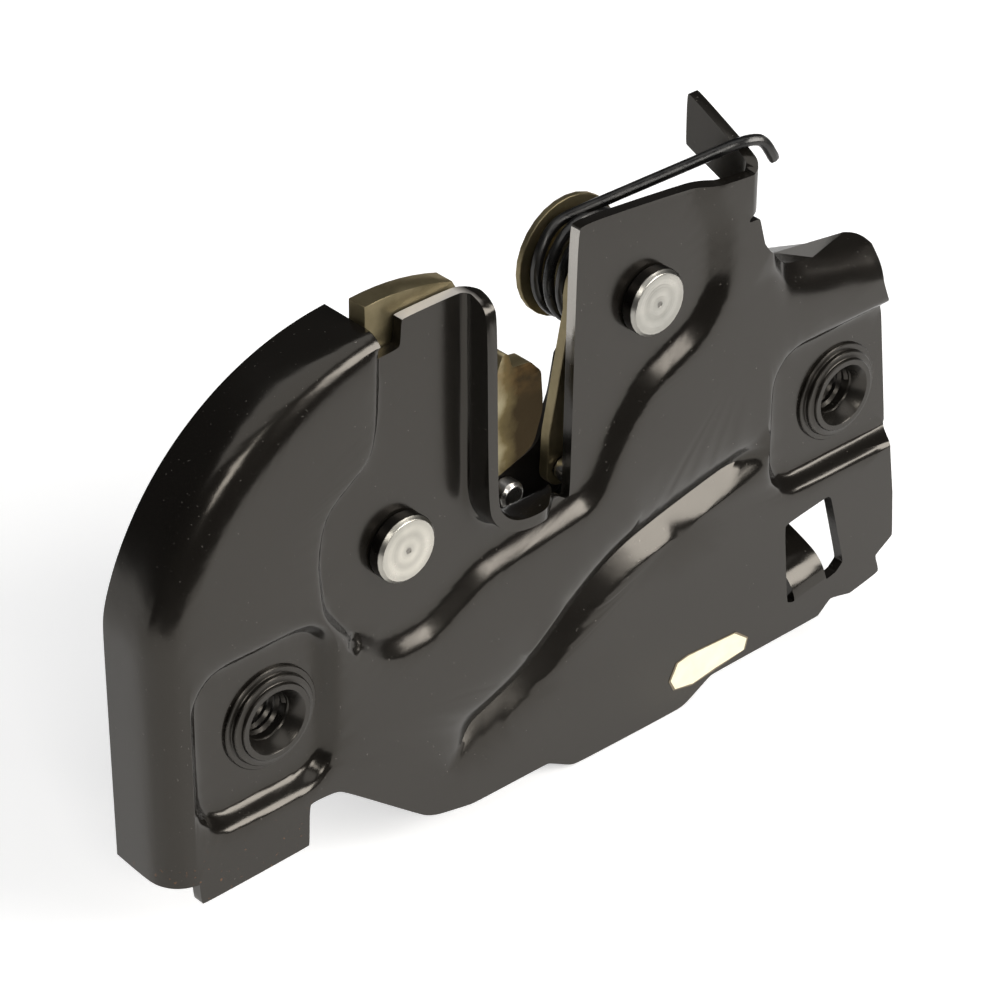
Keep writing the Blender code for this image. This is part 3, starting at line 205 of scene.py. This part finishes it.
def softened(item, group, edge=0.0, rounds=0):
    """Smooth shading on a CAD node, and where asked a broken edge or a rounder wire."""
    smooth = item.modifiers.new("smooth_facets", "NODES")
    smooth.node_group = group
    if edge:
        broken = item.modifiers.new("broken_edge", "BEVEL")
        broken.width = edge
        broken.segments = 2
        broken.limit_method = "ANGLE"
        broken.angle_limit = SHARP_EDGE
        broken.harden_normals = True
    if rounds:
        fine = item.modifiers.new("rounder", "SUBSURF")
        fine.levels = rounds
        fine.render_levels = rounds


def finish_of(name):
    """A new material: its graph, its shader, and the place on the object whole and as x, y, z."""
    made = bpy.data.materials.new(name)
    made.use_nodes = True
    graph = Graph(made.node_tree)
    shader = made.node_tree.nodes["Principled BSDF"]
    place = graph.node("ShaderNodeTexCoord").outputs["Object"]
    split = graph.node("ShaderNodeSeparateXYZ", {0: place})
    return made, graph, shader, place, split.outputs


def bump(graph, shader, height, strength):
    """Fine relief on the shader's normal."""
    inputs = {"Height": height, "Distance": BUMP_DEPTH, "Strength": strength}
    made = graph.node("ShaderNodeBump", inputs)
    graph.tree.links.new(made.outputs[0], shader.inputs["Normal"])


def join(graph, value, socket):
    """Links a node's output to one of the shader's inputs."""
    graph.tree.links.new(value, socket)


def colour(red, green, blue):
    """An opaque colour, linear."""
    return (red, green, blue, 1.0)


def rust_wear_and_painted_light(graph, place, axes, base):
    """The plate's slot edge, uncoated and with a painted highlight, a painted reflection on its
    tab top, and its rust: the new colour and the slot edge's share.
    """
    facing = graph.normal()
    # Slot edge: faces turned to -X at the slot are made lighter and metallic, uncoated metal with
    # a painted highlight.
    left = graph.spread(facing[0], -0.75, -0.95)
    near = graph.node("ShaderNodeMath", {0: axes[0], 1: SLOT_EDGE_X, 2: SLOT_EDGE_HALF},
                      operation="COMPARE").outputs[0]
    bare_edge_and_highlight = graph.times(left, near, graph.spread(axes[2], *SLOT_EDGE_RISE))
    base = graph.mix(bare_edge_and_highlight, base, colour(0.46, 0.44, 0.41))
    # Tab top: faces turned up along the tab's top are painted light grey, a painted reflection.
    top = graph.times(graph.spread(facing[2], 0.75, 0.92), graph.spread(axes[2], *TAB_TOP_RISE),
                      graph.spread(axes[0], *TAB_TOP_RIGHT), graph.spread(axes[0], *TAB_TOP_LEFT))
    base = graph.mix(graph.times(top, 0.9), base, colour(0.60, 0.57, 0.53))
    zone = graph.times(graph.spread(axes[0], *RUST_SIDE), graph.spread(axes[2], *RUST_DROP))
    spots = graph.spread(graph.noise(place, 1500.0, 2.0), 0.66, 0.72)
    return graph.mix(graph.times(zone, spots, 0.5), base, colour(0.20, 0.075, 0.02)), bare_edge_and_highlight


def coat(name, tint, rough, edge=False):
    """Black electrocoat: orange peel and faint dust, and for the plate its rust, an uncoated slot
    edge with a painted highlight and a painted reflection on the tab top.
    """
    made, graph, shader, place, axes = finish_of(name)
    cloud = graph.noise(place, 60.0, 4.0)
    fine = graph.noise(place, 900.0, 3.0, 0.6)
    grain = graph.noise(place, 4200.0, 2.0, 0.6)
    light_tint = (1.15 * part for part in tint)
    base = graph.mix(graph.spread(cloud, 0.35, 0.65), colour(*tint), colour(*light_tint))
    dust = graph.spread(graph.noise(place, 2600.0, 1.0), 0.75, 0.80)
    base = graph.mix(graph.times(dust, 0.28), base, colour(0.30, 0.28, 0.25))
    if edge:
        base, bare_edge_and_highlight = rust_wear_and_painted_light(graph, place, axes, base)
        join(graph, graph.times(bare_edge_and_highlight, 0.85), shader.inputs["Metallic"])
    join(graph, base, shader.inputs["Base Color"])
    roughness = graph.spread(cloud, 0.3, 0.7, rough - 0.02, rough + 0.03)
    join(graph, roughness, shader.inputs["Roughness"])
    shader.inputs["IOR"].default_value = 1.52
    shader.inputs["Specular Tint"].default_value = colour(1.0, 0.93, 0.83)
    height = graph.math("ADD", graph.times(fine, 0.7), graph.times(grain, 0.3))
    bump(graph, shader, height, 0.4)
    return made


def zinc(name, light, warm, rough, pivot=None):
    """Bright plated steel, clouded, and on a rivet its turned rings, centre dot and painted shade
    on its sides.
    """
    made, graph, shader, place, axes = finish_of(name)
    cloud = graph.noise(place, 140.0, 4.0, 0.6)
    base = graph.mix(graph.spread(cloud, 0.38, 0.62), colour(*light), colour(*warm))
    fine = graph.noise(place, 1800.0, 3.0, 0.65)
    height = graph.times(fine, 0.5)
    if pivot:
        dx = graph.math("SUBTRACT", axes[0], pivot[0])
        dz = graph.math("SUBTRACT", axes[2], pivot[1])
        radius = graph.math("SQRT", graph.math("ADD", graph.times(dx, dx), graph.times(dz, dz)))
        rings = graph.math("SINE", graph.times(radius, FINE_RINGS))
        wide = graph.math("SINE", graph.times(radius, WIDE_RINGS))
        dot = graph.spread(radius, *CENTRE_DOT)
        height = graph.math("ADD", height, graph.times(rings, 0.25))
        height = graph.math("ADD", height, graph.times(wide, 0.9))
        height = graph.math("SUBTRACT", height, graph.times(dot, 6.0))
        shade = graph.spread(wide, -1.0, 1.0, 0.0, 0.35)
        base = graph.mix(shade, base, colour(0.30, 0.29, 0.26))
        base = graph.mix(graph.times(dot, 0.7), base, colour(0.12, 0.11, 0.10))
        # Painted shade: the head's sides, turned away from -Y, are painted dark.
        side = graph.spread(graph.math("ABSOLUTE", graph.normal()[1]), 0.85, 0.45)
        base = graph.mix(side, base, colour(0.07, 0.065, 0.06))
    join(graph, base, shader.inputs["Base Color"])
    roughness = graph.spread(cloud, 0.3, 0.7, rough - 0.06, rough + 0.08)
    join(graph, roughness, shader.inputs["Roughness"])
    shader.inputs["Metallic"].default_value = 1.0
    bump(graph, shader, height, 0.6)
    return made


def gold_finish(name, painted_prong_light=False):
    """Yellow zinc, satin, and on the fork's prong a painted highlight on its left side, painted
    shade to its right and a stain towards its top.
    """
    made, graph, shader, place, axes = finish_of(name)
    cloud = graph.noise(place, 160.0, 4.0, 0.6)
    base = graph.mix(graph.spread(cloud, 0.35, 0.65), colour(0.275, 0.232, 0.140),
                     colour(0.185, 0.155, 0.088))
    if painted_prong_light:
        prong = graph.times(graph.spread(axes[0], *PRONG_SIDE), graph.spread(axes[2], *PRONG_DROP))
        # Across the prong's front face: a painted highlight on the left, fading into painted shade
        # towards the right.
        across = graph.math("ADD", axes[0], graph.spread(cloud, 0.3, 0.7, -0.0012, 0.0012))
        brown = graph.mix(graph.spread(across, *PRONG_PAINTED_HIGHLIGHT), colour(0.360, 0.320, 0.210),
                          colour(0.150, 0.118, 0.055))
        brown = graph.mix(graph.spread(across, *PRONG_PAINTED_SHADE), brown, colour(0.026, 0.017, 0.008))
        tip = graph.spread(graph.noise(place, 420.0, 4.0), 0.38, 0.66)
        tip = graph.times(tip, graph.spread(axes[2], *PRONG_STAIN))
        brown = graph.mix(graph.times(tip, 0.55), brown, colour(0.170, 0.098, 0.035))
        front = graph.spread(graph.normal()[1], -0.5, -0.9)
        base = graph.mix(graph.times(prong, front), base, brown)
    join(graph, base, shader.inputs["Base Color"])
    join(graph, graph.spread(cloud, 0.3, 0.7, 0.34, 0.46), shader.inputs["Roughness"])
    shader.inputs["Metallic"].default_value = 0.85
    shader.inputs["Specular Tint"].default_value = colour(1.0, 0.88, 0.66)
    bump(graph, shader, graph.noise(place, 1800.0, 3.0, 0.65), 0.5)
    return made


def spring_finish(name):
    """Dark oiled wire with drawn streaks."""
    made, graph, shader, place, _ = finish_of(name)
    cloud = graph.noise(place, 300.0, 4.0)
    base = graph.mix(graph.spread(cloud, 0.35, 0.65), colour(0.03, 0.03, 0.03),
                     colour(0.07, 0.068, 0.065))
    join(graph, base, shader.inputs["Base Color"])
    join(graph, graph.spread(cloud, 0.3, 0.7, 0.22, 0.36), shader.inputs["Roughness"])
    shader.inputs["Metallic"].default_value = 0.85
    bump(graph, shader, graph.noise(place, 2500.0, 3.0), 0.5)
    return made


def paper_finish(name):
    """Cream label, printed on satin film, slightly aged."""
    made, graph, shader, place, _ = finish_of(name)
    cloud = graph.noise(place, 400.0, 4.0)
    base = graph.mix(graph.spread(cloud, 0.3, 0.7), colour(0.84, 0.77, 0.52),
                     colour(0.90, 0.84, 0.62))
    join(graph, base, shader.inputs["Base Color"])
    join(graph, graph.spread(cloud, 0.3, 0.7, 0.42, 0.52), shader.inputs["Roughness"])
    bump(graph, shader, graph.noise(place, 2200.0, 3.0), 0.4)
    return made


def border_finish(name):
    """Brown printed border of the label."""
    made, graph, shader, place, _ = finish_of(name)
    cloud = graph.noise(place, 900.0, 3.0)
    base = graph.mix(cloud, colour(0.10, 0.08, 0.05), colour(0.20, 0.16, 0.10))
    join(graph, base, shader.inputs["Base Color"])
    join(graph, graph.spread(cloud, 0.3, 0.7, 0.45, 0.6), shader.inputs["Roughness"])
    return made


PLATE = coat("electrocoat_plate", (0.0062, 0.0054, 0.0044), 0.19, edge=True)
DARK = coat("electrocoat_dark", (0.0070, 0.0062, 0.0052), 0.27)
GOLD = gold_finish("yellow_zinc")
FORK_GOLD = gold_finish("greased_yellow_zinc", painted_prong_light=True)
BRIGHT = zinc("bright_zinc", (0.70, 0.68, 0.64), (0.60, 0.58, 0.54), 0.26)
SPRING = spring_finish("spring_steel")
FORK_RIVET = zinc("turned_fork_rivet", (0.64, 0.61, 0.54), (0.54, 0.52, 0.46), 0.30, FORK_PIVOT)
PAWL_RIVET = zinc("turned_pawl_rivet", (0.56, 0.54, 0.49), (0.46, 0.45, 0.41), 0.30, PAWL_PIVOT)
LABEL = paper_finish("cream_label")
BORDER = border_finish("label_border")

FINISHES = {
    "front_plate": PLATE, "back_plate": DARK, "fork": FORK_GOLD, "pawl_lever": GOLD,
    "spring_bush": GOLD, "fork_rivet": FORK_RIVET, "pawl_rivet": PAWL_RIVET,
    "fork_rivet_washer": BRIGHT, "pawl_rivet_washer": BRIGHT, "fork_spacer": DARK,
    "pawl_spacer": BRIGHT, "pawl_spring": SPRING, "fork_spring": SPRING, "weld_nut_left": DARK,
    "weld_nut_right": DARK, "pawl_stop_pin": BRIGHT, "fork_stop_pin": BRIGHT, "detent_pin": BRIGHT,
    "fork_spring_peg": BRIGHT, "cable_bush": DARK,
}
EDGES = {"front_plate": PLATE_EDGE, "back_plate": PLATE_EDGE, "fork": 0.0, "pawl_lever": 0.0,
         "pawl_spring": 0.0, "fork_spring": 0.0}
ROUNDS = {"pawl_spring": 1, "fork_spring": 1}
facets = shading_group("smooth_facets")
sheet = shading_group("smooth_sheet", 2)
for name, chosen in FINISHES.items():
    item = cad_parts[name]
    for material_slot in item.material_slots:
        material_slot.material = chosen
    group = sheet if name == "front_plate" else facets
    softened(item, group, EDGES.get(name, TURNED_EDGE), ROUNDS.get(name, 0))


def new_piece(name, shape, finish, body):
    """A piece from a bmesh, shaded smooth between its sharp edges, that rides on a body."""
    mesh = bpy.data.meshes.new(name)
    shape.to_mesh(mesh)
    shape.free()
    item = bpy.data.objects.new(name, mesh)
    scene.collection.objects.link(item)
    mesh.materials.append(finish)
    mesh.shade_smooth()
    mesh.set_sharp_from_angle(angle=ADDED_SHARP_EDGE)
    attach(item, body)
    return item


def thread(name, bolt, front, back):
    """Helical ridge of an M8 thread inside a weld nut."""
    profile = ((THREAD_ROOT, -0.42), (THREAD_CREST, -0.08),
               (THREAD_CREST, 0.08), (THREAD_ROOT, 0.42))
    turns = (back - front) / THREAD_PITCH
    shape = bmesh.new()
    rows = []
    for index in range(int(turns * THREAD_STEPS) + 1):
        angle = 2.0 * math.pi * index / THREAD_STEPS
        depth = front + THREAD_PITCH * index / THREAD_STEPS
        row = []
        for radius, offset in profile:
            row.append(shape.verts.new((
                bolt[0] + radius * math.cos(angle), depth + offset * THREAD_PITCH,
                bolt[1] + radius * math.sin(angle),
            )))
        rows.append(row)
    for first, second in zip(rows, rows[1:]):
        for side in range(4):
            after = (side + 1) % 4
            shape.faces.new((first[side], first[after], second[after], second[side]))
    shape.faces.new(rows[0])
    shape.faces.new(list(reversed(rows[-1])))
    bmesh.ops.recalc_face_normals(shape, faces=shape.faces)
    return new_piece(name, shape, DARK, "frame")


def collar(name, bolt):
    """Swaged rings of a weld nut's collar, which cover the joint with the pad."""
    shape = bmesh.new()
    rows = []
    for index in range(COLLAR_FACETS):
        angle = 2.0 * math.pi * index / COLLAR_FACETS
        along, up = math.cos(angle), math.sin(angle)
        rows.append([shape.verts.new((bolt[0] + radius * along, depth, bolt[1] + radius * up))
                     for radius, depth in COLLAR_STEPS])
    for index, row in enumerate(rows):
        after = rows[(index + 1) % COLLAR_FACETS]
        for step in range(len(COLLAR_STEPS)):
            other = (step + 1) % len(COLLAR_STEPS)
            shape.faces.new((row[step], row[other], after[other], after[step]))
    bmesh.ops.recalc_face_normals(shape, faces=shape.faces)
    return new_piece(name, shape, DARK, "frame")


for side, bolt in (("left", BOLT_LEFT), ("right", BOLT_RIGHT)):
    low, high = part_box(f"weld_nut_{side}")
    collar(f"swaged_collar_{side}", bolt)
    thread(f"thread_{side}", bolt, low[1] + THREAD_FRONT_GAP, high[1] - THREAD_BACK_GAP)


def slab(name, outline, front, thickness, finish):
    """A thin plate with its face towards -Y."""
    shape = bmesh.new()
    face = shape.faces.new([shape.verts.new((x, front, z)) for x, z in outline])
    made = bmesh.ops.extrude_face_region(shape, geom=[face])
    moved = [item for item in made["geom"] if isinstance(item, bmesh.types.BMVert)]
    bmesh.ops.translate(shape, verts=moved, vec=(0.0, thickness, 0.0))
    bmesh.ops.recalc_face_normals(shape, faces=shape.faces)
    return new_piece(name, shape, finish, "frame")


def scaled(outline, grow):
    """The outline moved outwards from the label's centre, in metres."""
    made = []
    for corner in outline:
        away = Vector(corner) - LABEL_CENTRE
        made.append(tuple(LABEL_CENTRE + away * (1.0 + grow / away.length)))
    return made


slab("origin_label_border", LABEL_CORNERS, -LABEL_THICKNESS, LABEL_THICKNESS, BORDER)
slab("origin_label", scaled(LABEL_CORNERS, -BORDER_WIDTH), -LABEL_THICKNESS - LABEL_RISE,
     LABEL_THICKNESS, LABEL)

# Camera
sight = Vector((math.sin(AZIMUTH) * math.cos(ELEVATION), math.cos(AZIMUTH) * math.cos(ELEVATION),
                -math.sin(ELEVATION)))
across = Vector((math.cos(AZIMUTH), -math.sin(AZIMUTH), 0.0))
upward = across.cross(sight)
lens = bpy.data.cameras.new("camera")
lens.lens = CAMERA_LENS
lens.sensor_width = CAMERA_SENSOR
lens.clip_start = 0.01
lens.clip_end = 50.0
camera = bpy.data.objects.new("camera", lens)
scene.collection.objects.link(camera)
turn = Matrix((across, upward, -sight)).transposed().to_4x4()
camera.matrix_world = Matrix.Translation(CAMERA_PLACE) @ turn
scene.camera = camera

# Floor and surroundings
low_corner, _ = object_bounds()
floor_mesh = bpy.data.meshes.new("floor")
floor_z = low_corner[2] - FLOOR_GAP
floor_mesh.from_pydata(
    [(-FLOOR_REACH, -FLOOR_FRONT, floor_z), (FLOOR_REACH, -FLOOR_FRONT, floor_z),
     (FLOOR_REACH, FLOOR_REACH, floor_z), (-FLOOR_REACH, FLOOR_REACH, floor_z)],
    [], [(0, 1, 2, 3)],
)
floor = bpy.data.objects.new("floor", floor_mesh)
scene.collection.objects.link(floor)
pale = bpy.data.materials.new("pale_floor")
pale.use_nodes = True
paint = pale.node_tree.nodes["Principled BSDF"]
paint.inputs["Base Color"].default_value = colour(0.93, 0.93, 0.93)
paint.inputs["Roughness"].default_value = 0.9
paint.inputs["Specular IOR Level"].default_value = 0.1
paint.inputs["Emission Color"].default_value = colour(1.0, 1.0, 1.0)
glow = Graph(pale.node_tree)
seen = glow.node("ShaderNodeLightPath").outputs["Is Camera Ray"]
join(glow, glow.spread(seen, 0.0, 1.0, 0.32, 0.45), paint.inputs["Emission Strength"])
floor_mesh.materials.append(pale)

# White for the camera, and for reflections and transmission where the camera's background lies:
# below the horizon and behind the object. Elsewhere they see a dim studio.
world = bpy.data.worlds.new("studio")
scene.world = world
world.use_nodes = True
sky = Graph(world.node_tree)
world.node_tree.nodes.clear()
path = sky.node("ShaderNodeLightPath")
sightline = sky.node("ShaderNodeTexCoord").outputs["Generated"]
towards = sky.node("ShaderNodeSeparateXYZ", {0: sightline})
behind = sky.times(sky.spread(towards.outputs[2], HORIZON, -HORIZON),
                   sky.spread(towards.outputs[1], -HORIZON, HORIZON))
mirrored = sky.math("MAXIMUM", path.outputs["Is Glossy Ray"], path.outputs["Is Transmission Ray"])
shown = sky.math("MAXIMUM", path.outputs["Is Camera Ray"], sky.times(mirrored, behind))
dim = sky.node("ShaderNodeBackground", {"Color": colour(0.05, 0.05, 0.052), "Strength": 1.0})
white = sky.node("ShaderNodeBackground", {"Color": colour(1.0, 1.0, 1.0), "Strength": 1.0})
chosen = sky.node("ShaderNodeMixShader", {
    0: shown, 1: dim.outputs[0], 2: white.outputs[0],
})
sky.node("ShaderNodeOutputWorld", {0: chosen.outputs[0]})


def softbox(name, place, size, power, tint=(1.0, 1.0, 1.0), roll=0.0):
    """A rectangular lamp aimed at the origin, turned by roll about its aim."""
    light = bpy.data.lights.new(name, "AREA")
    light.shape = "RECTANGLE"
    light.size, light.size_y = size
    light.energy = power
    light.color = tint
    item = bpy.data.objects.new(name, light)
    scene.collection.objects.link(item)
    item.location = place
    aimed = (-Vector(place)).to_track_quat("-Z", "Y")
    item.rotation_euler = (aimed @ Quaternion((0.0, 0.0, 1.0), roll)).to_euler()
    return item


softbox("overhead", (-0.1, -0.1, 1.3), (1.5, 1.5), 9.0)
softbox("key", (-0.525, -0.81, 0.63), (0.28, 0.28), 2.2, tint=(1.0, 0.98, 0.94))
softbox("front", (0.520, -0.960, 0.500), (0.72, 0.66), 15.0, tint=(1.0, 0.98, 0.95),
        roll=math.radians(28.0))
